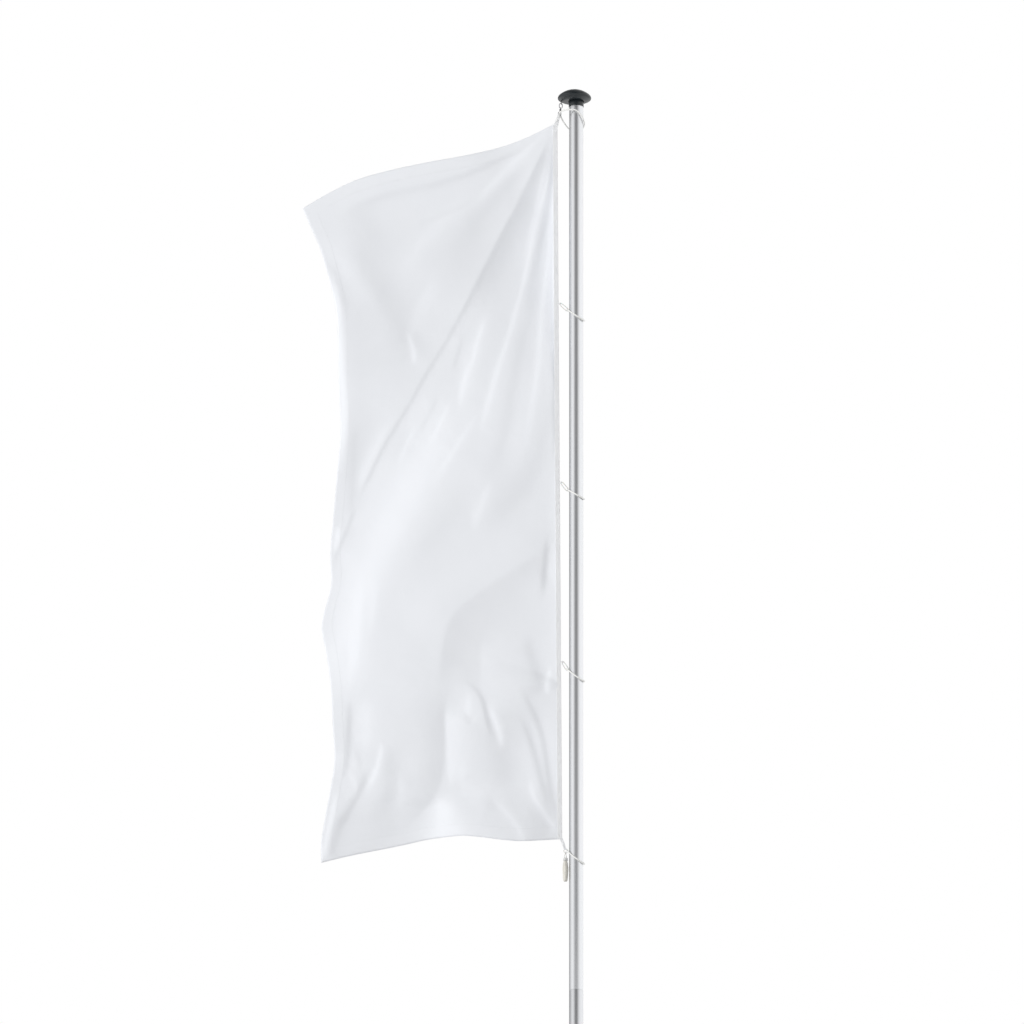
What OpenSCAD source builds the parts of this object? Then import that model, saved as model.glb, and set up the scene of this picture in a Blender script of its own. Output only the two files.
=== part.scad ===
// Cylindrical aluminium flagpole with a turning cap and a tall banner flag.
// Origin: centre of the base plate's underside. +Z up the pole, the flag flies towards -X.

/* [Pole] */
// Height of the pole's top end above the ground
pole_height = 8000; // [6000:50:10000]
// Outside diameter of the pole tube
pole_d = 75; // [60:1:78]
// Wall thickness of the pole tube
pole_wall = 2.5; // [2:0.5:4]
// Height of the joint between the lower and the upper tube
joint_z = 3040; // [2500:20:3500]
// Chamfer on the ends of both tubes
joint_chamfer = 1; // [0.5:0.1:1.5]
// Length of the inner spigot, half of it in each tube
spigot_len = 600; // [400:20:800]
// Wall thickness of the inner spigot
spigot_wall = 3; // [2:0.5:5]

/* [Base] */
// Side of the square base plate
plate_side = 300; // [260:10:400]
// Thickness of the base plate
plate_t = 15; // [10:1:25]
// Corner radius of the base plate
plate_corner = 15; // [5:1:30]
// Distance between the anchor holes along X and Y
anchor_spacing = 220; // [200:5:230]
// Diameter of the anchor holes
anchor_hole_d = 18; // [14:1:22]
// Height of the socket tube above the plate
socket_h = 300; // [200:10:450]
// Wall thickness of the socket tube
socket_wall = 6; // [5:1:10]
// Height of the gussets above the plate
gusset_h = 150; // [80:10:200]
// Reach of the gussets from the socket wall
gusset_w = 60; // [40:5:65]
// Thickness of the gussets
gusset_t = 8; // [6:1:12]
// Height of the collar that closes the socket
collar_h = 24; // [15:1:40]
// How far the collar stands out beyond the socket wall
collar_lip = 4; // [2:1:8]
// Diameter of the clamp screws
screw_d = 12; // [8:1:16]
// Depth of the clamp screws below the socket's rim
screw_drop = 45; // [30:5:80]

/* [Head] */
// Outside diameter of the fixed bearing sleeve
sleeve_d = 80; // [76:1:90]
// Length of the sleeve over the tube
sleeve_skirt = 30; // [20:1:60]
// Thickness of the sleeve's closed top
sleeve_top = 8; // [5:1:12]
// Diameter of the axle that the cap turns on
axle_d = 20; // [16:1:30]
// Length of the axle above the sleeve
axle_len = 32; // [20:1:34]
// Radius of the cap's rim
cap_r = 89; // [80:1:110]
// Height of the dome above the rim
cap_rise = 38; // [30:1:50]
// Height of the straight lip under the dome
cap_lip = 18; // [12:1:22]
// Chamfer on the lip's lower edge
lip_ease = 6; // [2:1:8]
// Depth of the closed underside below the lip
cap_bowl = 9; // [6:1:12]
// Gap between the underside's hole and the fixed sleeve
cap_gap = 2; // [1:0.5:4]
// Wall thickness of the cap
cap_wall = 3.5; // [2.5:0.5:5]
// Height of the lip's lower edge above the pole's top end
cap_seat = 8; // [6:1:14]
// Offset of the cap's centre towards the flag
cap_offset = 9; // [0:1:12]
// Diameter of the hub under the cap
hub_d = 76; // [50:1:80]
// Diameter of the wire of the eye bolt and the chain link
link_wire = 4; // [3:0.5:5]

/* [Flag] */
// Width of the webbing along the hoist
band_w = 25; // [20:1:40]
// Thickness of the webbing
band_t = 5; // [3:0.5:8]
// Thickness of the cloth solid
cloth_t = 4; // [3:0.5:6]
// Diameter of the wire of the hoist hooks
hook_wire = 4; // [3:0.5:5]
// Radius of the hooks' eyes, to the middle of the wire
hook_eye_r = 7.5; // [7:0.5:9]
// Diameter of the retaining cords
loop_cord_d = 8; // [5:0.5:8]
// Diameter of the cord at the flag's top corner
corner_cord_d = 5; // [4:0.5:5]
// Width of the strap at the flag's lower corner
strap_w = 13; // [9:1:18]

/* [Weight] */
// Diameter of the cord that the weight hangs on
weight_cord_d = 5; // [3:0.5:5]
// Diameter of the weight's pouch
pouch_d = 32; // [26:1:40]
// Length of the weight's pouch
pouch_len = 115; // [80:5:160]
// Diameter of the band around the pouch's neck
neck_d = 25; // [18:1:26]
// Height of the band around the pouch's neck
neck_h = 15; // [10:1:25]

/* [Hidden] */
$fn = 48;

fit = 0.3;        // clearance between pieces that sit in or on each other
running_fit = 0.05; // radial clearance of the axle in its hub
pole_r = pole_d / 2;
bore_r = pole_r - pole_wall;
seat_r = pole_r + fit;               // bores that the pole stands in
socket_r = seat_r + socket_wall;
socket_top = plate_t + socket_h;
screw_z = socket_top - screw_drop;
screw_count = 3;
head_share = 0.6;                    // height of a screw's head, of its diameter
hex_share = 1.7;                     // width of a screw's head across its corners, of its diameter
head_z = pole_height;
sleeve_r = sleeve_d / 2;
axle_r = axle_d / 2;
rim_z = head_z + cap_seat;           // lower edge of the cap's lip
dome_z = rim_z + cap_lip;            // where the dome starts
dome_r = (cap_r * cap_r + cap_rise * cap_rise) / (2 * cap_rise);
dome_centre = dome_z + cap_rise - dome_r;
hub_z = head_z + sleeve_top + fit;
bowl_z = rim_z - cap_bowl;           // lowest face of the underside
hole_r = sleeve_r + cap_gap;         // hole in the underside, on the pole's axis
bowl_r = hole_r + cap_offset + 2 * cap_wall; // where the underside turns flat, from the cap's centre

// Chain of small pieces between the cap and the flag's top corner
link_r = link_wire / 2;
eye_x = -80;                         // axis of the eye bolt
eye_r = 8;                           // to the middle of its wire
eye_z = head_z - 7;
link_w = 16;                         // width to the middle of the wire
link_len = 27;                       // length to the middle of the wire
play = 0.8;                          // gap between links that hang in each other
link_top = eye_z - eye_r + link_wire + play;
link_x = -82;
swivel_eye_r = 5;
swivel_wire = 3;
swivel_x = -84;
swivel_top = link_top - link_len + link_r + swivel_wire / 2 + play;
barrel_d = 10;
barrel_h = 13;
barrel_top = swivel_top - 2 * swivel_eye_r;
snap_w = 15;
snap_len = 23;
snap_wire = 3.4;
snap_x = -88;
snap_top = barrel_top - barrel_h;

// Hoist line: the edge of the webbing next to the pole, from top to bottom
flag_top = head_z - 116;
flag_drop = 4000;
hoist_x_top = -100;
hoist_x_low = -74;
hoist_lean = atan((hoist_x_low - hoist_x_top) / flag_drop);
tab_gaps = 4;                        // equal gaps between the five tabs
tab_pitch = flag_drop / tab_gaps;
tab_lower = 15;                      // how far the middle tabs sit below those equal steps
top_tab_in = 4;                      // from the hoist edge to the middle of the top corner's eye
strap_end_w = 8;                     // width of the lower strap where it holds the ring
strap_root = 4;
strap_sag = 0.2;                     // how far the ring hangs below the middle of the strap's bore
tab_root = 3;
tab_bore_r = 3.2;
tab_wall = 1.5;
tab_w = 7;
tab_r = tab_bore_r + tab_wall;
tab_slack = 0.7;                     // webbing between a tab's root and its bore
hook_sag = 0.8;                      // how far a hook's wire hangs from the middle of its tab's bore
tab_reach = tab_root + tab_bore_r + tab_slack; // from the hoist edge to the middle of the tab's eye
hook_top_x = tab_reach + hook_eye_r - hook_sag; // from the hoist edge to the middle of the hook's eye

// Corner ring, with the weight under it
corner_ring_r = 11;
corner_ring_at = [-55, 0, -4184];
pouch_x = -57;
pouch_end_share = 0.7;               // width of the pouch's lower end, of its diameter
pouch_taper_share = 0.35;            // part of its length that tapers
neck_top = -4224;

// Routes of the cords, x and y from the pole's axis, z from the pole's top end
loop_start = -50;                    // where the loops pass through the hooks' lower eyes
loop_clear = 6.5;                    // from there to the eye's wire, towards the pole
hook_ring_x = loop_start + loop_clear - hook_eye_r;
shank_share = 1.2;                   // thickness of a hook's shank, of its wire
hook_ring_z = [-1164, -2170, -3172, -4183];
loop_drop = [1.1, 0.95, 1.2, 1.25];  // slope of each lower retaining loop
loop_shape = [
    [-50, -0.5, 0], [-49, -9, -3], [-43, -20, -10], [-32, -30, -20], [-17, -39, -32],
    [0, -43, -44], [17, -39, -53], [31, -30, -59], [40, -16, -61], [43, 0, -58],
    [40, 16, -51], [31, 30, -41], [17, 39, -30], [0, 43, -18], [-17, 39, -9],
    [-32, 30, -3], [-43, 20, 0], [-49, 9, 1], [-50, 0.5, 0]
];
top_loop_route = [
    [-88, -0.5, -64], [-87, -9, -63], [-76, -20, -59], [-61, -28, -57], [-44, -35, -57],
    [-24, -41, -58], [0, -44, -63], [18, -40, -79], [31, -31, -95], [40, -17, -111],
    [44, 0, -123], [40, 17, -133], [29, 32, -141], [12, 42, -147], [-8, 43, -149],
    [-27, 36, -147], [-44, 25, -139], [-58, 18, -123], [-71, 13, -103], [-81, 10, -83],
    [-87, 7, -68.5], [-88, 0.5, -64]
];
head_cord_route = [
    [-90, -0.5, -75], [-90, -5, -77], [-92, -8, -84], [-96, -10, -93], [-101, -10, -102],
    [-103, -8, -108], [-104, -4, -111], [-104, 0, -111], [-104, 4, -111], [-103, 8, -108],
    [-101, 10, -102], [-96, 10, -93], [-92, 8, -84], [-90, 5, -77], [-90, 0.5, -75]
];
weight_cord_route = [
    [-61, -1, -4223], [-62, -4, -4213], [-60, -7, -4204], [-58, -7, -4196],
    [-57, -4, -4191], [-57, 0, -4189.5], [-57, 4, -4191], [-56, 7, -4196], [-54, 7, -4204],
    [-52, 4, -4213], [-53, 1, -4223]
];

// Outline of the cloth, x and z from the pole's top end
top_edge = [[-126, -116], [-260, -200], [-610, -306], [-1000, -384], [-1325, -524], [-1455, -596]];
fly_edge = [
    [-1455, -596], [-1345, -890], [-1268, -1220], [-1255, -1835], [-1305, -2530],
    [-1345, -2900], [-1300, -3280], [-1285, -3666], [-1350, -4000], [-1348, -4250]
];
low_edge = [[-100, -4116], [-385, -4120], [-625, -4104], [-885, -4146], [-1205, -4213], [-1348, -4250]];
cloth_rows = 36;
cloth_columns = 12;
cone_crease = 28;                    // angle of the main crease from straight down
cone_wave = 45;                      // angle between neighbouring valleys
cone_depth = 0.035;                  // depth of those folds for each mm from the top corner
low_depth = 60;                      // depth of the folds in the lower half
wave_lift = 0.32;                    // rise of the cloth for each mm that it stands back

// ---- functions

function unit(v) = v / norm(v);
function tangent(p, i) = unit(p[min(i + 1, len(p) - 1)] - p[max(i - 1, 0)]);
function ring_points(p, i, r, n, ref) =
    let (t = tangent(p, i), side = unit(cross(t, ref)), up = cross(side, t))
    [for (k = [0:n - 1]) p[i] + r * (cos(360 * k / n) * side + sin(360 * k / n) * up)];
function quad(a, b, c, d) = [[a, b, c], [a, c, d]];
function tab_z(i) = flag_top - i * tab_pitch - tab_lower;
function hoist_x(z) = hoist_x_top + (flag_top - z) * (hoist_x_low - hoist_x_top) / flag_drop;
function mix(a, b, f) = a + (b - a) * f;
function smooth(a, b, v) = let (f = max(0, min(1, (v - a) / (b - a)))) f * f * (3 - 2 * f);
function spline(a, b, c, d, f) =
    0.5 * (2 * b + (c - a) * f + (2 * a - 5 * b + 4 * c - d) * f * f + (3 * b - a - 3 * c + d) * f * f * f);
function along(p, f) =
    let (m = len(p) - 1, i = min(floor(f * m), m - 1))
    spline(p[max(i - 1, 0)], p[i], p[i + 1], p[min(i + 2, m)], f * m - i);

// Point of the cloth's flat outline patch, s from the hoist to the fly, t from top to bottom
function patch(s, t) =
    let (a = along(top_edge, s), b = along(low_edge, s), c = mix(top_edge[0], low_edge[0], t),
         d = along(fly_edge, t), m = len(top_edge) - 1)
    mix(a, b, t) + mix(c, d, s)
    - mix(mix(top_edge[0], top_edge[m], s), mix(low_edge[0], low_edge[m], s), t);

// Depth of the folds: a cone of folds from the top corner, and softer ones in the lower half
function fold(s, t) =
    let (p = patch(s, t) - [hoist_x_top, flag_top - head_z], r = norm(p), a = atan2(-p[0], -p[1]))
    smooth(0, 0.15, s) * (
        (1 - smooth(0.45, 0.75, t)) * cone_depth * r * cos(360 * (a - cone_crease) / cone_wave)
        + smooth(0.4, 0.7, t) * low_depth * sin(360 * (1.1 * s + 0.6 * t)));
function cloth_point(s, t) =
    let (p = patch(s, t), y = fold(s, t)) [p[0], y, p[1] + wave_lift * y];

// ---- shared shapes

module tube(r_out, r_in, h) {
    difference() {
        cylinder(r = r_out, h = h);
        translate([0, 0, -1]) cylinder(r = r_in, h = h + 2);
    }
}

module wire_ring(r, wire) {
    rotate([90, 0, 0]) rotate_extrude() translate([r, 0]) circle(d = wire);
}

module wire_rod(a, b, wire) {
    v = b - a;
    translate(a) rotate([0, acos(v[2] / norm(v)), atan2(v[1], v[0])])
        cylinder(d = wire, h = norm(v));
}

// An oval link in the XZ plane, hanging down from its own top
module wire_link(w, len, wire) {
    r = w / 2;
    for (end = [0, 1])
        translate([0, 0, end == 0 ? -r : r - len]) rotate([0, 180 * end, 0]) rotate([90, 0, 0])
            rotate_extrude(angle = 180) translate([r, 0]) circle(d = wire);
    for (x = [-r, r]) translate([x, 0, r - len]) cylinder(d = wire, h = len - w);
}

// A round cord of diameter d along a route of points
module cord(route, d, ref) {
    n = 8;
    m = len(route);
    polyhedron(
        points = [for (i = [0:m - 1]) each ring_points(route, i, d / 2, n, ref)],
        faces = concat(
            [for (i = [0:m - 2], k = [0:n - 1])
                each quad(i * n + k, i * n + (k + 1) % n, (i + 1) * n + (k + 1) % n, (i + 1) * n + k)],
            [[for (k = [n - 1:-1:0]) k], [for (k = [0:n - 1]) (m - 1) * n + k]]));
}

// ---- base

module base_plate() {
    inner = plate_side / 2 - plate_corner;
    color("gainsboro") difference() {
        union() {
            translate([-plate_side / 2, -inner, 0]) cube([plate_side, 2 * inner, plate_t]);
            translate([-inner, -plate_side / 2, 0]) cube([2 * inner, plate_side, plate_t]);
            for (x = [-inner, inner], y = [-inner, inner])
                translate([x, y, 0]) cylinder(r = plate_corner, h = plate_t);
        }
        for (x = [-1, 1], y = [-1, 1])
            translate([x * anchor_spacing / 2, y * anchor_spacing / 2, -1])
                cylinder(d = anchor_hole_d, h = plate_t + 2);
    }
}

module base_socket() {
    color("gainsboro") difference() {
        translate([0, 0, plate_t]) tube(socket_r, seat_r, socket_h);
        for (i = [1:screw_count])
            rotate(screw_turn(i)) translate([0, 0, screw_z]) rotate([0, 90, 0])
                cylinder(d = screw_d + 2 * fit, h = socket_r + 1);
    }
}

module base_gusset(i) {
    root = socket_r + fit;
    color("gainsboro") rotate(45 + 90 * i) translate([0, gusset_t / 2, plate_t]) rotate([90, 0, 0])
        linear_extrude(gusset_t)
            polygon([[root, 0], [root + gusset_w, 0], [root + gusset_w, gusset_t],
                     [root + gusset_t, gusset_h], [root, gusset_h]]);
}

module base_collar() {
    color("dimgray") translate([0, 0, socket_top])
        tube(socket_r + collar_lip, seat_r, collar_h);
}

function screw_turn(i) = 90 + 360 * i / screw_count;

module clamp_screw(i) {
    head = screw_d * head_share;
    color("silver") rotate(screw_turn(i)) translate([0, 0, screw_z]) rotate([0, 90, 0]) {
        translate([0, 0, seat_r]) cylinder(d = screw_d, h = socket_wall + fit + head);
        translate([0, 0, socket_r + fit]) cylinder(d = screw_d * hex_share, h = head, $fn = 6);
    }
}

// ---- pole

module pole_tube(z_low, z_high) {
    c = joint_chamfer;
    color("silver") rotate_extrude(convexity = 4)
        polygon([[bore_r, z_low], [pole_r - c, z_low], [pole_r, z_low + c],
                 [pole_r, z_high - c], [pole_r - c, z_high], [bore_r, z_high]]);
}

module pole_lower() { pole_tube(plate_t, joint_z); }

module pole_upper() { pole_tube(joint_z, head_z); }

module joint_spigot() {
    color("gray") translate([0, 0, joint_z - spigot_len / 2])
        tube(bore_r - fit, bore_r - fit - spigot_wall, spigot_len);
}

// ---- head

module head_bearing() {
    color("#1c2230") difference() {
        union() {
            translate([0, 0, head_z - sleeve_skirt])
                cylinder(r = sleeve_r, h = sleeve_skirt + sleeve_top);
            translate([0, 0, head_z]) cylinder(r = axle_r, h = sleeve_top + axle_len);
        }
        translate([0, 0, head_z - sleeve_skirt - 1]) cylinder(r = seat_r, h = sleeve_skirt + 1);
    }
}

module cap_dome() {
    inside_r = cap_r - cap_wall;
    inside_z = rim_z + lip_ease + 1;
    color("#1c2230") difference() {
        translate([-cap_offset, 0, 0]) difference() {
            union() {
                intersection() {
                    translate([0, 0, dome_centre]) sphere(dome_r);
                    translate([0, 0, dome_z]) cylinder(r = cap_r + 1, h = cap_rise + 1);
                }
                translate([0, 0, rim_z + lip_ease]) cylinder(r = cap_r, h = cap_lip - lip_ease);
                translate([0, 0, rim_z]) cylinder(r1 = cap_r - lip_ease, r2 = cap_r, h = lip_ease);
                translate([0, 0, bowl_z]) cylinder(r1 = bowl_r, r2 = cap_r - lip_ease, h = cap_bowl);
            }
            intersection() {
                translate([0, 0, dome_centre]) sphere(dome_r - cap_wall);
                translate([0, 0, inside_z]) cylinder(r = inside_r, h = cap_lip + cap_rise);
            }
            translate([0, 0, bowl_z + cap_wall])
                cylinder(r1 = bowl_r, r2 = inside_r, h = inside_z - bowl_z - cap_wall);
        }
        translate([0, 0, bowl_z - 1]) cylinder(r = hole_r, h = cap_wall + 2);
        translate([eye_x, 0, bowl_z - 1]) cylinder(r = link_r + fit, h = cap_lip);
    }
}

module cap_hub() {
    color("#1c2230") difference() {
        intersection() {
            translate([0, 0, hub_z]) cylinder(d = hub_d, h = dome_z + cap_rise - hub_z);
            translate([-cap_offset, 0, dome_centre]) sphere(dome_r - cap_wall - fit);
        }
        translate([0, 0, hub_z - 1])
            cylinder(r = axle_r + running_fit, h = axle_len + 1 + fit);
    }
}

module eye_bolt() {
    reach = eye_x + cap_offset - link_r;
    top = dome_centre + sqrt(pow(dome_r - cap_wall - fit, 2) - reach * reach);
    color("#1c2230") {
        translate([eye_x, 0, eye_z]) rotate(90) wire_ring(eye_r, link_wire);
        translate([eye_x, 0, eye_z + eye_r]) cylinder(d = link_wire, h = top - eye_z - eye_r);
    }
}

module chain_link() {
    color("silver") translate([link_x, 0, link_top]) wire_link(link_w, link_len, link_wire);
}

module swivel_barrel() {
    color("#1c2230") translate([swivel_x, 0, swivel_top]) {
        translate([0, 0, -swivel_eye_r]) rotate(90) wire_ring(swivel_eye_r, swivel_wire);
        translate([0, 0, barrel_top - swivel_top - barrel_h]) cylinder(d = barrel_d, h = barrel_h);
    }
}

module snap_hook() {
    color("silver") translate([snap_x, 0, snap_top]) {
        translate([0, 0, -snap_wire / 2]) wire_link(snap_w, snap_len, snap_wire);
    }
}

module head_cord() {
    color("white") translate([0, 0, head_z]) cord(head_cord_route, corner_cord_d, [1, 0, 0]);
}

// ---- flag

module flag_cloth() {
    n = cloth_columns;
    m = cloth_rows;
    row = n + 1;
    back = (m + 1) * row;
    middle = [for (i = [0:m], j = [0:n]) cloth_point(j / n, i / m)];
    color("white") translate([0, 0, head_z]) polyhedron(
        points = concat(
            [for (p = middle) p - [0, cloth_t / 2, 0]],
            [for (p = middle) p + [0, cloth_t / 2, 0]]),
        faces = concat(
            [for (i = [0:m - 1], j = [0:n - 1]) let (a = i * row + j)
                each quad(a, a + row, a + row + 1, a + 1)],
            [for (i = [0:m - 1], j = [0:n - 1]) let (a = back + i * row + j)
                each quad(a, a + 1, a + row + 1, a + row)],
            [for (j = [0:n - 1]) each quad(j, j + 1, back + j + 1, back + j)],
            [for (j = [0:n - 1]) let (a = m * row + j) each quad(a + 1, a, back + a, back + a + 1)],
            [for (i = [0:m - 1]) let (a = i * row) each quad(a + row, a, back + a, back + a + row)],
            [for (i = [0:m - 1]) let (a = i * row + n) each quad(a, a + row, back + a + row, back + a)]));
}

module hoist_band() {
    color("whitesmoke") translate([hoist_x_top, 0, flag_top]) rotate([0, -hoist_lean, 0])
        translate([-band_w, -band_t / 2, -flag_drop]) cube([band_w, band_t, flag_drop]);
}

module side_tab(i) {
    z = tab_z(i);
    color("white") translate([hoist_x(z) + fit, 0, z]) difference() {
        union() {
            translate([0, -band_t / 2, -tab_w / 2]) cube([tab_reach - fit, band_t, tab_w]);
            translate([tab_reach - fit, 0, -tab_w / 2]) cylinder(r = tab_r, h = tab_w);
        }
        translate([tab_reach - fit, 0, -tab_w]) cylinder(r = tab_bore_r, h = 2 * tab_w);
    }
}

// An eye at the flag's top corner, in the plane of the cloth
module top_corner_tab() {
    color("white") translate([hoist_x_top - top_tab_in, tab_w / 2, flag_top + tab_r + fit]) rotate([90, 0, 0])
        tube(tab_r, tab_bore_r, tab_w);
}

// A strap from the flag's lower corner, folded round the corner ring's wire
module low_strap() {
    top = [hoist_x_low - strap_w / 2, 0, flag_top - flag_drop - fit];
    ring = [0, 0, head_z] + corner_ring_at;
    way = unit(top - ring);
    eye = ring + way * (corner_ring_r + strap_sag);
    turn = [0, 90 + atan2(way[0], way[2]), 0];
    color("white") difference() {
        hull() {
            translate(top - [strap_w / 2, band_t / 2, strap_root]) cube([strap_w, band_t, strap_root]);
            translate(eye) rotate(turn) cylinder(r = tab_r, h = strap_end_w, center = true);
        }
        translate(eye) rotate(turn) cylinder(r = tab_bore_r, h = 2 * strap_w, center = true);
    }
}

module hoist_hook(i) {
    z = tab_z(i);
    top = [hoist_x(z) + hook_top_x, 0, z];
    low = [hook_ring_x, 0, head_z + hook_ring_z[i - 1]];
    way = unit(low - top);
    color("white") {
        translate(top) wire_ring(hook_eye_r, hook_wire);
        translate(low) wire_ring(hook_eye_r, hook_wire);
        wire_rod(top + way * hook_eye_r, low - way * hook_eye_r, hook_wire * shank_share);
    }
}

module corner_ring() {
    color("white") translate([0, 0, head_z] + corner_ring_at) wire_ring(corner_ring_r, hook_wire);
}

module retaining_loop(i) {
    route = i == 1 ? top_loop_route
        : [for (p = loop_shape) [p[0], p[1], hook_ring_z[i - 2] + loop_drop[i - 2] * p[2]]];
    color("white") translate([0, 0, head_z]) cord(route, loop_cord_d, [0, 0, 1]);
}

// ---- weight

module weight_cord() {
    color("white") translate([0, 0, head_z]) cord(weight_cord_route, weight_cord_d, [1, 0, 0]);
}

module weight_neck() {
    color("lightgray") translate([pouch_x, 0, head_z + neck_top - neck_h])
        cylinder(d = neck_d, h = neck_h);
}

module weight_pouch() {
    end = pouch_d * pouch_end_share;
    low = pouch_len * pouch_taper_share;
    color("beige") translate([pouch_x, 0, head_z + neck_top - neck_h]) rotate([180, 0, 0]) {
        cylinder(d = pouch_d, h = pouch_len - low);
        translate([0, 0, pouch_len - low]) cylinder(d1 = pouch_d, d2 = end, h = low);
    }
}

base_plate();
base_socket();
for (i = [1:4]) base_gusset(i);
base_collar();
for (i = [1:screw_count]) clamp_screw(i);
pole_lower();
joint_spigot();
pole_upper();
head_bearing();
cap_dome();
cap_hub();
eye_bolt();
chain_link();
swivel_barrel();
snap_hook();
head_cord();
flag_cloth();
hoist_band();
top_corner_tab();  // hoist_tab_1
for (i = [1:3]) side_tab(i);
low_strap();  // hoist_tab_5
for (i = [1:3]) hoist_hook(i);
corner_ring();
for (i = [1:5]) retaining_loop(i);
weight_cord();
weight_neck();
weight_pouch();
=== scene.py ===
# An eight-metre aluminium flagpole on a bolted foot. A cap turns on its top and carries a tall white banner
# flag on a short chain. Cord loops hold the flag's edge to the pole, and a small weight hangs below it.
import math

import bmesh
import bpy
import numpy as np
from mathutils import Matrix, Vector


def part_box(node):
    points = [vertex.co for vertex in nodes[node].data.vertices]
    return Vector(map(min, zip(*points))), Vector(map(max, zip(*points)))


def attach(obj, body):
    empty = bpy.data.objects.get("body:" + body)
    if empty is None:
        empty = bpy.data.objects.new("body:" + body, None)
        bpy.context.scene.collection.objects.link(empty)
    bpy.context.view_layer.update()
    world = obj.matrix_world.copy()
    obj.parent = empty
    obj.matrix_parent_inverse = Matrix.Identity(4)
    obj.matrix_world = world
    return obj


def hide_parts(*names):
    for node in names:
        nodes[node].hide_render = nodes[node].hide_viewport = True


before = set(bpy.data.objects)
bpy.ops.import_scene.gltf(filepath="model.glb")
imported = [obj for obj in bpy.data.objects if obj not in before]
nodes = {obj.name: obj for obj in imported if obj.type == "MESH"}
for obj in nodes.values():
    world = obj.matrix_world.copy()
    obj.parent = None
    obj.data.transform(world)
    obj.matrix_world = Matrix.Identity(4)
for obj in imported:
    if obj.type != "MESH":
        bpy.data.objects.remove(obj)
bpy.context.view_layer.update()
scene = bpy.context.scene
POLE_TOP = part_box("pole_upper")[1][2]

# ---- Camera
# A long lens far away, below the foot and looking up at the head, a little left of the pole so that
# the flag and the upper tube fill the picture.
CAMERA_TILT = math.radians(18)
CAMERA_ROLL = math.radians(0.027)
CAMERA_DISTANCE = 249.08
CAMERA_AIM = Vector((-0.3406, 0, 5.7037))
camera = bpy.data.objects.new("camera", bpy.data.cameras.new("camera"))
camera.data.lens = 1650
camera.data.sensor_width = 36
camera.data.clip_end = 400
turn = Matrix.Rotation(math.pi / 2 + CAMERA_TILT, 4, "X") @ Matrix.Rotation(CAMERA_ROLL, 4, "Z")
camera.matrix_world = Matrix.Translation(CAMERA_AIM) @ turn @ Matrix.Translation((0, 0, CAMERA_DISTANCE))
scene.collection.objects.link(camera)
scene.camera = camera
scene.view_settings.view_transform = "Standard"

# ---- Cords
# Laid white polyester rope, three strands. Four loops hold the flag's edge to the pole, one hangs from the
# snap hook round the pole's top, and short lashings tie the flag's top corner and the weight.


class Socket:
    """A shader socket: sums on it add Math nodes, and node() adds any other."""

    def __init__(self, tree, socket=None):
        self.tree = tree
        self.socket = socket

    def node(self, kind, values=(), out=0, stops=(), **settings):
        made = self.tree.nodes.new("ShaderNode" + kind)
        for name, value in settings.items():
            setattr(made, name, value)
        if stops:
            ramp = made.color_ramp.elements
            while len(ramp) < len(stops):
                ramp.new(0.5)
            for element, (place, colour) in zip(ramp, stops):
                element.position = place
                element.color = (*colour, 1) if isinstance(colour, tuple) else (colour, colour, colour, 1)
        for name, value in dict(values).items():
            if isinstance(value, Socket):
                self.tree.links.new(value.socket, made.inputs[name])
            else:
                made.inputs[name].default_value = value
        return Socket(self.tree, made.outputs[out] if made.outputs else None)

    def sum(self, operation, first, second=0.0):
        return self.node("Math", {0: first, 1: second}, operation=operation)

    def __add__(self, other):
        return self.sum("ADD", self, other)

    def __sub__(self, other):
        return self.sum("SUBTRACT", self, other)

    def __rsub__(self, other):
        return self.sum("SUBTRACT", other, self)

    def __mul__(self, other):
        return self.sum("MULTIPLY", self, other)

    def __truediv__(self, other):
        return self.sum("DIVIDE", self, other)

    def __abs__(self):
        return self.sum("ABSOLUTE", self)

    def sine(self):
        return self.sum("SINE", self)

    def above(self, limit):
        return self.sum("GREATER_THAN", self, limit)

    def blend(self, dark, light):
        """A colour between two others, by this value from 0 to 1."""
        return self.node("Mix", {0: self, 6: (*dark, 1), 7: (*light, 1)}, out=2, data_type="RGBA")

    def bump(self, height):
        """A normal from this value as a height, 1 being that many metres."""
        return self.node("Bump", {"Height": self, "Distance": height, "Strength": 1.0})

    def noise(self, place, scale, detail, stretch=(1, 1, 1)):
        placed = self.node("Mapping", {0: place, 3: stretch})
        return self.node("TexNoise", {"Vector": placed, "Scale": scale, "Detail": detail})


def finish(name, **constants):
    """A new material: its shader's own sockets are set here, and the patterns are linked afterwards."""
    made = bpy.data.materials.new(name)
    made.use_nodes = True
    shader = made.node_tree.nodes["Principled BSDF"]
    for key, value in constants.items():
        shader.inputs[key.replace("_", " ").title()].default_value = value
    paint = Socket(made.node_tree)
    place = paint.node("TexCoord", out=3)
    return made, paint, place, shader


def link(shader, **sockets):
    for key, value in sockets.items():
        value.tree.links.new(value.socket, shader.inputs[key.replace("_", " ").title()])


ROPE_COLOUR = (0.94, 0.94, 0.92)
ROPE_SHADE = (0.78, 0.78, 0.76)
rope_white, paint, place, shader = finish("rope_white", roughness=0.75, sheen_weight=0.2)
fibres = paint.noise(place, 900, 3)
grime = paint.noise(place, 35, 3)
link(shader, base_color=(grime * 0.6 + fibres * 0.4).blend(ROPE_SHADE, ROPE_COLOUR),
     normal=fibres.bump(0.0004))

STRANDS = 3
LAY = 7  # length of one turn of a strand, in rope diameters
ROPE_RELIEF = 0.12  # depth of the grooves between the strands, of the rope's radius
SHARP_ANGLE = math.radians(35)  # faces that meet at more than this keep a sharp edge
SAME_POINT = 1e-6  # points closer together than this are one


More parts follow.
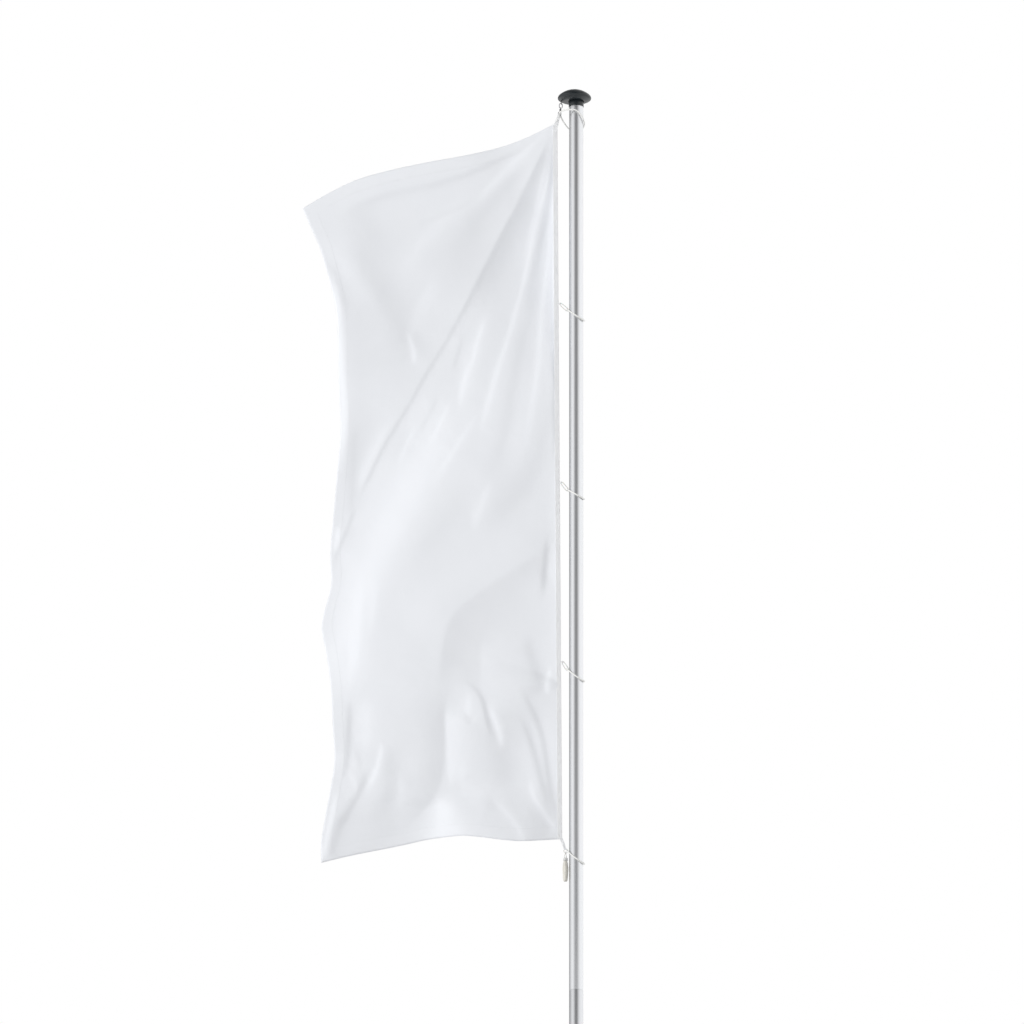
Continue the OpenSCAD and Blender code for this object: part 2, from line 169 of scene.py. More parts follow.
def put(name, mesh, body, slot, material, *replaced):
    """Makes a mesh one piece of the flagpole, smooth but for its sharp edges."""
    piece = bpy.data.objects.new(name, mesh)
    scene.collection.objects.link(piece)
    mesh.materials.clear()
    mesh.materials.append(material)
    mesh.shade_smooth()
    mesh.set_sharp_from_angle(angle=SHARP_ANGLE)
    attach(piece, body)
    if replaced:
        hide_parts(*replaced)
    return piece


def wire(name, points, diameter, roundness, steps, closed=False):
    """A mesh of round wire bent smoothly through the points."""
    line = bpy.data.curves.new(name, "CURVE")
    line.dimensions = "3D"
    line.bevel_depth = diameter / 2
    line.bevel_resolution = roundness
    line.resolution_u = steps
    line.use_fill_caps = not closed
    bend = line.splines.new("BEZIER")
    bend.bezier_points.add(len(points) - 1)
    bend.use_cyclic_u = closed
    for knot, point in zip(bend.bezier_points, points):
        knot.co = point
        knot.handle_left_type = knot.handle_right_type = "AUTO"
    holder = bpy.data.objects.new(name, line)
    scene.collection.objects.link(holder)
    mesh = bpy.data.meshes.new_from_object(holder.evaluated_get(bpy.context.evaluated_depsgraph_get()))
    bpy.data.objects.remove(holder)
    return mesh


def rope(name, route, diameter, length):
    """A laid rope along a route in millimetres from the pole's top."""
    points = [Vector(p) / 1000 + Vector((0, 0, POLE_TOP)) for p in route]
    mesh = wire(name, points, diameter, 6, 14)
    bm = bmesh.new()
    bm.from_mesh(mesh)
    uv = bm.loops.layers.uv[0]
    turns = length / (LAY * diameter)
    moved = {}
    for face in bm.faces:
        for loop in face.loops:
            along, around = loop[uv].uv
            moved[loop.vert] = math.cos(2 * math.pi * STRANDS * (around + along * turns))
    for vert, wave in moved.items():
        vert.co += vert.normal * (wave - 1) * ROPE_RELIEF * diameter / 4
    bmesh.ops.remove_doubles(bm, verts=bm.verts, dist=SAME_POINT)
    bm.to_mesh(mesh)
    bm.free()
    piece = put(name + "_rope", mesh, "turning_head", "white_cord", rope_white, name)


# One loop's way round the pole, in millimetres, from its hook and back
LOOP_SHAPE = [
    (-50, -0.5, 0), (-49, -9, -3), (-43, -20, -10), (-32, -30, -20), (-17, -39, -32), (0, -43, -44),
    (17, -39, -53), (31, -30, -59), (40, -16, -61), (43, 0, -58), (40, 16, -51), (31, 30, -41),
    (17, 39, -30), (0, 43, -18), (-17, 39, -9), (-32, 30, -3), (-43, 20, 0), (-49, 9, 1), (-50, 0.5, 0)]
# Each loop's height at the hoist, its drop as a share of that shape's, and its length
LOOPS = [(-1164, 1.1, 0.315), (-2170, 0.95, 0.306), (-3172, 1.2, 0.320), (-4183, 1.25, 0.324)]
LOOP_DIAMETER = 0.008
for number, (height, slope, length) in enumerate(LOOPS, 2):
    rope(f"retaining_loop_{number}", [(x, y, height + slope * z) for x, y, z in LOOP_SHAPE],
         LOOP_DIAMETER, length)
rope("retaining_loop_1", [
    (-88, -0.5, -64), (-87, -9, -63), (-76, -20, -59), (-61, -28, -57), (-44, -35, -57), (-24, -41, -58),
    (0, -44, -63), (18, -40, -79), (31, -31, -95), (40, -17, -111), (44, 0, -123), (40, 17, -133),
    (29, 32, -141), (12, 42, -147), (-8, 43, -149), (-27, 36, -147), (-44, 25, -139), (-58, 18, -123),
    (-71, 13, -103), (-81, 10, -83), (-87, 7, -68.5), (-88, 0.5, -64)], LOOP_DIAMETER, 0.416)
LASHING_DIAMETER = 0.005
rope("head_cord", [
    (-90, -0.5, -75), (-90, -5, -77), (-92, -8, -84), (-96, -10, -93), (-101, -10, -102), (-103, -8, -108),
    (-104, -4, -111), (-104, 0, -111), (-104, 4, -111), (-103, 8, -108), (-101, 10, -102), (-96, 10, -93),
    (-92, 8, -84), (-90, 5, -77), (-90, 0.5, -75)], LASHING_DIAMETER, 0.100)
rope("weight_cord", [
    (-61, -1, -4223), (-62, -4, -4213), (-60, -7, -4204), (-58, -7, -4196), (-57, -4, -4191),
    (-57, 0, -4189.5), (-57, 4, -4191), (-56, 7, -4196), (-54, 7, -4204), (-52, 4, -4213),
    (-53, 1, -4223)], LASHING_DIAMETER, 0.078)

# ---- Studio
# A white room for the lens. Pale panels stand to the left and right, the side of the camera and the ceiling
# are darker, the ground is pale, and a wide soft lamp shines from the left. A pale disc is the floor.
FLOOR_RADIUS = 5
# Brightness of the room's walls by bearing in degrees, 0 being the side of the camera
SKY_BANDS = [
    (-180, 0.45), (-125, 0.45), (-100, 0.80), (-70, 1.10), (-45, 1.05), (-28, 0.55), (-12, 0.28),
    (10, 0.26), (26, 0.52), (45, 1.00), (70, 1.15), (130, 1.15), (160, 1.0), (180, 0.45)]
# Share of that brightness towards the ceiling, and share of the ground, by height in degrees
CEILING = [(-90, 1.0), (38, 1.0), (58, 0.35), (90, 0.30)]
GROUND = [(-90, 1.0), (-20, 1.0), (-2, 0.0), (90, 0.0)]
GROUND_LIGHT = 1.0
world = bpy.data.worlds.new("studio")
scene.world = world
world.use_nodes = True
world.node_tree.nodes.clear()
sky = Socket(world.node_tree)
way = sky.node("TexCoord", out=0)
east = sky.node("SeparateXYZ", {0: way}, out=0)
north = sky.node("SeparateXYZ", {0: way}, out=1)
bearing = sky.sum("ARCTAN2", east, 0 - north) / (2 * math.pi) + 0.5
bands = sky.node("ValToRGB", {0: bearing},
                 stops=[((angle + 180) / 360, value) for angle, value in SKY_BANDS])
upward = sky.node("SeparateXYZ", {0: way}, out=2) * 0.5 + 0.5
ceiling, ground = (sky.node("ValToRGB", {0: upward}, stops=[
    ((math.sin(math.radians(angle)) + 1) / 2, value) for angle, value in steps]) for steps in (CEILING, GROUND))
room = bands * ceiling * (1 - ground) + ground * GROUND_LIGHT
lit = sky.node("Background", {0: room, 1: 1.0})
seen = sky.node("Background", {0: (1, 1, 1, 1), 1: 1.0})
camera_ray = sky.node("LightPath", out=0)
shown = sky.node("MixShader", {0: camera_ray, 1: lit, 2: seen})
sky.node("OutputWorld", {0: shown})

SUN_FROM = Vector((-0.837, -0.483, 0.26))
lamp = bpy.data.objects.new("soft_lamp", bpy.data.lights.new("soft_lamp", "SUN"))
lamp.data.energy = 1.42
lamp.data.angle = math.radians(30)
lamp.rotation_euler = SUN_FROM.to_track_quat("Z", "Y").to_euler()
lamp.visible_glossy = False
scene.collection.objects.link(lamp)

floor_pale = finish("floor_pale", base_color=(0.86, 0.86, 0.86, 1), roughness=0.9)[0]
bm = bmesh.new()
bmesh.ops.create_circle(bm, cap_ends=True, radius=FLOOR_RADIUS, segments=96)
floor = bpy.data.objects.new("floor", bpy.data.meshes.new("floor"))
bm.to_mesh(floor.data)
bm.free()
floor.data.materials.append(floor_pale)
scene.collection.objects.link(floor)

# ---- Foot
# A welded and hot-dip galvanised steel foot: a square plate with four anchor holes, a socket tube, four
# gussets and a weld bead round the tube. Three hex screws clamp the pole.
galvanised, paint, place, shader = finish("galvanised", metallic=0.9)
crystals = paint.node("TexVoronoi", {"Vector": place, "Scale": 70.0}, out=1)
grain = paint.node("SeparateXYZ", {0: crystals}, out=0)
cloudy = paint.noise(place, 14, 4)
link(shader, base_color=(grain * 0.5 + cloudy * 0.5).blend((0.40, 0.42, 0.44), (0.66, 0.68, 0.70)),
     roughness=grain * 0.16 + cloudy * 0.2 + 0.32, normal=cloudy.bump(0.0015))

FLAT_ANGLE = math.radians(0.5)  # faces that meet at less than this are joined into one
ROUNDED_ANGLE = math.radians(40)  # edges sharper than this are rounded


def softened(name, slot, material, edge, body="pole"):
    """A copy of a CAD piece with its sharp edges rounded, as rolled and drawn metal has them."""
    bm = bmesh.new()
    bm.from_mesh(nodes[name].data)
    bmesh.ops.remove_doubles(bm, verts=bm.verts, dist=SAME_POINT)
    bmesh.ops.dissolve_limit(bm, angle_limit=FLAT_ANGLE, verts=bm.verts, edges=bm.edges)
    mesh = bpy.data.meshes.new(name + "_rounded")
    bm.to_mesh(mesh)
    bm.free()
    piece = put(name + "_rounded", mesh, body, slot, material, name)
    rounding = piece.modifiers.new("rounding", "BEVEL")
    rounding.width = edge
    rounding.segments = 2
    rounding.limit_method = "ANGLE"
    rounding.angle_limit = ROUNDED_ANGLE
    rounding.harden_normals = True
    return piece


softened("base_plate", "galvanised_steel", galvanised, 0.0015)
softened("base_socket", "galvanised_steel", galvanised, 0.0008)
for number in range(1, 5):
    softened(f"base_gusset_{number}", "galvanised_steel", galvanised, 0.001)


def lathe(name, profile, body, slot, material, *replaced, centre=(0, 0), steps=96, change=None):
    """A turned piece: its half section (radius, height) goes once round the centre."""
    bm = bmesh.new()
    corners = [bm.verts.new((centre[0] + r, centre[1], z)) for r, z in profile]
    ring = profile[0][0] > 0 and profile[-1][0] > 0
    edges = [bm.edges.new(pair) for pair in zip(corners, corners[1:] + (corners[:1] if ring else []))]
    bmesh.ops.spin(bm, geom=corners + edges, cent=(*centre, 0), axis=(0, 0, 1), angle=2 * math.pi,
                   steps=steps, use_merge=True)
    bmesh.ops.remove_doubles(bm, verts=bm.verts, dist=SAME_POINT)
    bmesh.ops.recalc_face_normals(bm, faces=bm.faces)
    if change:
        change(bm)
    mesh = bpy.data.meshes.new(name)
    bm.to_mesh(mesh)
    bm.free()
    return put(name, mesh, body, slot, material, *replaced)


def bead(bm):
    """The ripples that a hand-made weld leaves."""
    for vert in bm.verts:
        turned = math.atan2(vert.co.y, vert.co.x)
        vert.co += vert.normal * (0.0006 * math.sin(64 * turned) + 0.0004 * math.sin(11 * turned))


plate_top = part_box("base_plate")[1][2]
socket_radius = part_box("base_socket")[1][0]
WELD = 0.004  # size of the bead, a little more than its radius
lathe("base_weld", [(socket_radius + WELD * math.cos(a) * 0.9, plate_top + WELD * (math.sin(a) * 0.9 + 0.3))
                    for a in (2 * math.pi * k / 12 for k in range(12))],
      "pole", "galvanised_steel", galvanised, steps=192, change=bead)

satin_black, paint, place, shader = finish("satin_black")
pores = paint.noise(place, 700, 3)
wear = paint.noise(place, 40, 3)
link(shader, base_color=(wear * 0.8).blend((0.035, 0.036, 0.040), (0.075, 0.076, 0.080)),
     roughness=wear * 0.2 + 0.38, normal=pores.bump(0.0002))
softened("base_collar", "collar_plastic", satin_black, 0.0025)

brushed_screw, paint, place, shader = finish("brushed_screw", metallic=1.0)
lines = paint.noise(place, 300, 3, (1, 1, 8))
link(shader, base_color=lines.blend((0.50, 0.51, 0.52), (0.74, 0.75, 0.76)), roughness=lines * 0.25 + 0.2,
     normal=lines.bump(0.0001))
for number in range(1, 4):
    softened(f"clamp_screw_{number}", "screw_steel", brushed_screw, 0.0008)

# ---- Pole
# Two extruded and anodised aluminium tubes that meet on an inner spigot. The extruding leaves fine lines
# along them, and the anodising a soft satin.


def tube_finish(name, dark, light, roughness):
    made, paint, place, shader = finish(name, metallic=1.0)
    drawn = paint.noise(place, 1.0, 4, (420, 420, 1.5))
    cloud = paint.noise(place, 1.0, 3, (9, 9, 1.2))
    link(shader, base_color=(drawn * 0.35 + cloud * 0.65).blend(dark, light),
         roughness=drawn * 0.10 + cloud * 0.06 + roughness, normal=drawn.bump(0.00004))
    return made


anodised = tube_finish("anodised", (0.735, 0.745, 0.765), (0.785, 0.795, 0.815), 0.20)
anodised_lower = tube_finish("anodised_lower", (0.69, 0.70, 0.72), (0.74, 0.75, 0.77), 0.21)
mill_finish = tube_finish("mill_finish", (0.55, 0.56, 0.57), (0.66, 0.67, 0.68), 0.3)
TUBE_WALL = 0.0025
SPIGOT_WALL = 0.003
EASE = 0.0008  # chamfer on the tubes' ends, inside and out


def tube(name, material, slot, wall):
    low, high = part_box(name)
    outer, bottom, top = high[0], low[2], high[2]
    inner = outer - wall
    lathe(name + "_drawn", [
        (inner, bottom + EASE), (inner + EASE, bottom),
        (outer - EASE, bottom), (outer - EASE * 0.3, bottom + EASE * 0.3), (outer, bottom + EASE),
        (outer, top - EASE), (outer - EASE * 0.3, top - EASE * 0.3), (outer - EASE, top),
        (inner + EASE, top), (inner, top - EASE)], "pole", slot, material, name, steps=128)


tube("pole_lower", anodised_lower, "pole_aluminium", TUBE_WALL)
tube("pole_upper", anodised, "pole_aluminium", TUBE_WALL)
tube("joint_spigot", mill_finish, "spigot_aluminium", SPIGOT_WALL)

# ---- Turning cap
# A fixed sleeve and axle of black glass-filled plastic sit on the tube. The mushroom cap, moulded glossy
# black, turns on the axle with its hub, and its rim is rolled under.
gloss_black, paint, place, shader = finish("gloss_black", coat_weight=0.05, coat_roughness=0.12)
moulded = paint.noise(place, 60, 3)
dust = paint.noise(place, 220, 4)
link(shader, base_color=(moulded * 0.6 + dust * 0.4).blend((0.005, 0.008, 0.010), (0.014, 0.020, 0.024)),
     roughness=dust * 0.16 + 0.22, normal=(moulded * 0.7 + dust * 0.3).bump(0.0004))

sleeve_low, sleeve_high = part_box("head_bearing")
SLEEVE_RADIUS = sleeve_high[0]
SLEEVE_BORE = 0.0378  # radius, a little more than the tube's
AXLE_RADIUS = 0.010
sleeve_top = POLE_TOP + 0.008
lathe("head_bearing_moulded", [
    (0, POLE_TOP), (SLEEVE_BORE, POLE_TOP), (SLEEVE_BORE, sleeve_low[2]), (SLEEVE_RADIUS - 0.0007, sleeve_low[2]),
    (SLEEVE_RADIUS, sleeve_low[2] + 0.0007), (SLEEVE_RADIUS, sleeve_top - 0.002),
    (SLEEVE_RADIUS - 0.0006, sleeve_top - 0.0006), (SLEEVE_RADIUS - 0.002, sleeve_top), (AXLE_RADIUS, sleeve_top),
    (AXLE_RADIUS, sleeve_high[2] - 0.001), (AXLE_RADIUS - 0.001, sleeve_high[2]), (0, sleeve_high[2])],
    "pole", "cap_plastic", gloss_black, "head_bearing")

cap_low, cap_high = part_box("cap_dome")
CAP_CENTRE = ((cap_low[0] + cap_high[0]) / 2, 0)
CAP_RADIUS = (cap_high[0] - cap_low[0]) / 2
CAP_WALL = 0.0035
LIP = 0.018  # height of the rim below the dome
BOWL = 0.009  # depth of the closed underside below the lip
HOLE_RADIUS = SLEEVE_RADIUS + 0.002
bowl_z = cap_low[2]
rim_z = bowl_z + BOWL
dome_rise = cap_high[2] - rim_z - LIP
dome_radius = (CAP_RADIUS ** 2 + dome_rise ** 2) / (2 * dome_rise)
dome_centre = cap_high[2] - dome_radius


def dome(radius, reach, count):
    """Points down a dome's half section, from its top to a reach from the axis."""
    end = math.asin(reach / radius)
    return [(radius * math.sin(end * k / count), dome_centre + radius * math.cos(end * k / count))
            for k in range(count + 1)]


def rolled_rim(side, rise, drop, count=16):
    """The rim's half section from the dome round to the underside, side being its half width."""
    middle = rim_z + drop
    turns = [math.radians(60 - 125 * k / count) for k in range(count + 1)]
    return [(CAP_RADIUS - side + side * math.cos(a), middle + (rise if a > 0 else drop) * math.sin(a))
            for a in turns]


def centre_hole(bm):
    """The hole lies on the pole's axis, beside the middle of the cap."""
    for vert in bm.verts:
        if math.hypot(vert.co.x - CAP_CENTRE[0], vert.co.y) < HOLE_RADIUS + 0.001 and vert.co.z < bowl_z + 0.01:
            vert.co.x -= CAP_CENTRE[0]


underside = [(0.074, rim_z - 0.0027), (0.066, rim_z - 0.0057), (0.060, rim_z - 0.0080), (0.056, bowl_z + 0.0001),
             (HOLE_RADIUS + 0.0006, bowl_z), (HOLE_RADIUS, bowl_z + 0.0006), (HOLE_RADIUS, bowl_z + CAP_WALL)]
inside = [(0.058, bowl_z + CAP_WALL), (0.076, rim_z + 0.0045), (CAP_RADIUS - CAP_WALL - 0.001, rim_z + 0.012)]
cap_profile = (dome(dome_radius, CAP_RADIUS - 0.0075, 20) + rolled_rim(0.014, 0.0165, 0.010)[1:]
               + underside + inside + dome(dome_radius - CAP_WALL, CAP_RADIUS - 0.012, 16)[::-1])
lathe("cap_dome_moulded", cap_profile, "turning_head", "cap_plastic", gloss_black, "cap_dome", centre=CAP_CENTRE,
      change=centre_hole)
softened("cap_hub", "cap_plastic", gloss_black, 0.0015, "turning_head")

# ---- Chain
# A black eye bolt under the cap's rim, one bright steel link, a small black swivel and a bright snap hook
# hang in each other, all of round wire.
bright, paint, place, shader = finish("bright", metallic=1.0)
scratches = paint.noise(place, 500, 3, (1, 1, 6))
link(shader, base_color=scratches.blend((0.34, 0.34, 0.36), (0.55, 0.56, 0.58)), roughness=scratches * 0.2 + 0.1,
     normal=scratches.bump(0.00008))
softened("eye_bolt", "screw_steel", satin_black, 0.0003, "turning_head")
softened("chain_link", "bright_steel", bright, 0.0003, "turning_head")
softened("swivel_barrel", "collar_plastic", satin_black, 0.0012, "turning_head")
softened("snap_hook", "bright_steel", bright, 0.0003, "turning_head")

# ---- Flag
# Light knitted polyester, cut 1.5 by 4.0 metres and hemmed on three sides. It hangs from its top corner and
# blows a little, so that folds run from that corner and the lower half swells.

# Outline of the cloth as it hangs: x from the pole's axis and z from the pole's top end
TOP_EDGE = [(-0.10, -0.116), (-0.26, -0.200), (-0.41, -0.258), (-0.61, -0.306), (-0.79, -0.340), (-1.00, -0.388),
            (-1.17, -0.440), (-1.33, -0.522), (-1.455, -0.600)]
FLY_EDGE = [(-1.455, -0.600), (-1.41, -0.71), (-1.36, -0.83), (-1.32, -0.97), (-1.285, -1.12), (-1.268, -1.27),
            (-1.262, -1.60), (-1.252, -1.84), (-1.27, -2.09), (-1.29, -2.33), (-1.305, -2.53), (-1.30, -2.70),
            (-1.335, -2.85), (-1.35, -2.95), (-1.325, -3.09), (-1.30, -3.28), (-1.29, -3.49), (-1.28, -3.67),
            (-1.30, -3.83), (-1.33, -4.00), (-1.35, -4.13), (-1.35, -4.25)]
LOW_EDGE = [(-0.085, -4.118), (-0.28, -4.128), (-0.38, -4.122), (-0.54, -4.102), (-0.63, -4.100), (-0.79, -4.122),
            (-0.89, -4.146), (-0.99, -4.168), (-1.20, -4.212), (-1.35, -4.25)]


def spline(points, count):
    """Points at even steps along a smooth curve through the given ones."""
    points = np.array(points, float)
    ends = np.vstack([2 * points[0] - points[1], points, 2 * points[-1] - points[-2]])
    step = np.linspace(0, 1, 12, endpoint=False)[:, None]
    fine = [0.5 * (2 * b + (c - a) * step + (2 * a - 5 * b + 4 * c - d) * step ** 2
                   + (3 * b - a - 3 * c + d) * step ** 3)
            for a, b, c, d in zip(ends, ends[1:], ends[2:], ends[3:])]
    fine = np.vstack(fine + [points[-1:]])
    along = np.concatenate([[0], np.cumsum(np.hypot(*np.diff(fine, axis=0).T))])
    even = np.linspace(0, along[-1], count)
    return np.stack([np.interp(even, along, fine[:, k]) for k in (0, 1)], axis=1)


def smooth(low, high, value):
    part = np.clip((value - low) / (high - low), 0, 1)
    return part * part * (3 - 2 * part)


PATH_POINTS = 24


def across(x, z, path):
    """How far each point lies to the right of a path, how far from it, and how far along it from 0 to 1."""
    line = spline(path, PATH_POINTS)
    gaps, sides, places = [], [], []
    for i, ((ax, az), (bx, bz)) in enumerate(zip(line, line[1:])):
        dx, dz = bx - ax, bz - az
        long = math.hypot(dx, dz)
        part = np.clip(((x - ax) * dx + (z - az) * dz) / long ** 2, 0, 1)
        gaps.append(np.hypot(x - ax - part * dx, z - az - part * dz))
        sides.append((dx * (z - az) - dz * (x - ax)) / long)
        places.append((i + part) / (PATH_POINTS - 1))
    nearest = np.min(gaps, axis=0)
    share = np.exp((nearest - np.array(gaps)) / (0.003 + 0.1 * np.minimum(nearest, 0.1)))
    share /= share.sum(axis=0)
    return (share * sides).sum(axis=0), nearest, (share * places).sum(axis=0)


# Folds: slope, width to the left, width to the right, fade at start, fade at end, path in metres. A plus
# slope brings the cloth forward from left to right, a minus slope takes it back. The first group fans out
# from the top corner, so its widths grow along the path.
FAN = [
    # top crease, dark below
    (-0.42, 0.010, 0.05, 0.3, 0.2, [
        (-0.13, -0.14), (-0.30, -0.26), (-0.44, -0.335), (-0.60, -0.405), (-0.75, -0.455), (-0.90, -0.487),
        (-1.02, -0.52), (-1.16, -0.575), (-1.28, -0.65)]),
    (0.15, 0.04, 0.06, 0.2, 0.3, [
        (-0.12, -0.13), (-0.30, -0.31), (-0.50, -0.51), (-0.65, -0.62), (-0.80, -0.76), (-0.92, -0.95),
        (-0.98, -1.10)]),
    (0.12, 0.03, 0.03, 0.1, 0.4, [
        (-0.12, -0.13), (-0.30, -0.31), (-0.50, -0.505), (-0.70, -0.60), (-0.90, -0.70), (-1.00, -0.76)]),
    (-0.16, 0.07, 0.10, 0.3, 0.4, [
        (-0.20, -0.27), (-0.35, -0.45), (-0.50, -0.62), (-0.62, -0.80), (-0.70, -0.95)]),
    # under the long crease: very dark near the corner
    (-0.40, 0.010, 0.13, 0.15, 0.5, [
        (-0.12, -0.16), (-0.15, -0.22), (-0.25, -0.44), (-0.33, -0.62), (-0.40, -0.76), (-0.50, -0.97),
        (-0.60, -1.17), (-0.70, -1.36)]),
    # light folds beside the hoist
    (0.28, 0.016, 0.022, 0.2, 0.12, [
        (-0.115, -0.15), (-0.15, -0.40), (-0.20, -0.62), (-0.25, -0.85), (-0.29, -1.05), (-0.33, -1.20),
        (-0.38, -1.38), (-0.42, -1.50), (-0.46, -1.65), (-0.50, -1.80), (-0.53, -1.88)]),
    (0.18, 0.012, 0.014, 0.3, 0.3, [
        (-0.13, -0.20), (-0.155, -0.32), (-0.185, -0.45), (-0.22, -0.62), (-0.26, -0.80), (-0.30, -0.95)]),
    (-0.25, 0.025, 0.040, 0.2, 0.4, [
        (-0.11, -0.20), (-0.135, -0.45), (-0.175, -0.70), (-0.215, -0.90), (-0.255, -1.10), (-0.30, -1.30)]),
    (0.22, 0.025, 0.025, 0.3, 0.3, [
        (-0.105, -0.20), (-0.13, -0.60), (-0.15, -0.90), (-0.17, -1.05), (-0.19, -1.25), (-0.20, -1.45),
        (-0.22, -1.60), (-0.25, -1.80), (-0.30, -1.95), (-0.36, -2.05)]),
    (-0.15, 0.05, 0.05, 0.4, 0.3, [
        (-0.16, -0.90), (-0.25, -1.20), (-0.30, -1.40), (-0.34, -1.60), (-0.38, -1.85), (-0.44, -2.05),
        (-0.55, -2.25)]),
    # the peak at the bottom hem
    (0.42, 0.12, 0.15, 0.25, 0.01, [(-0.72, -3.86), (-0.71, -4.00), (-0.69, -4.16)]),
]
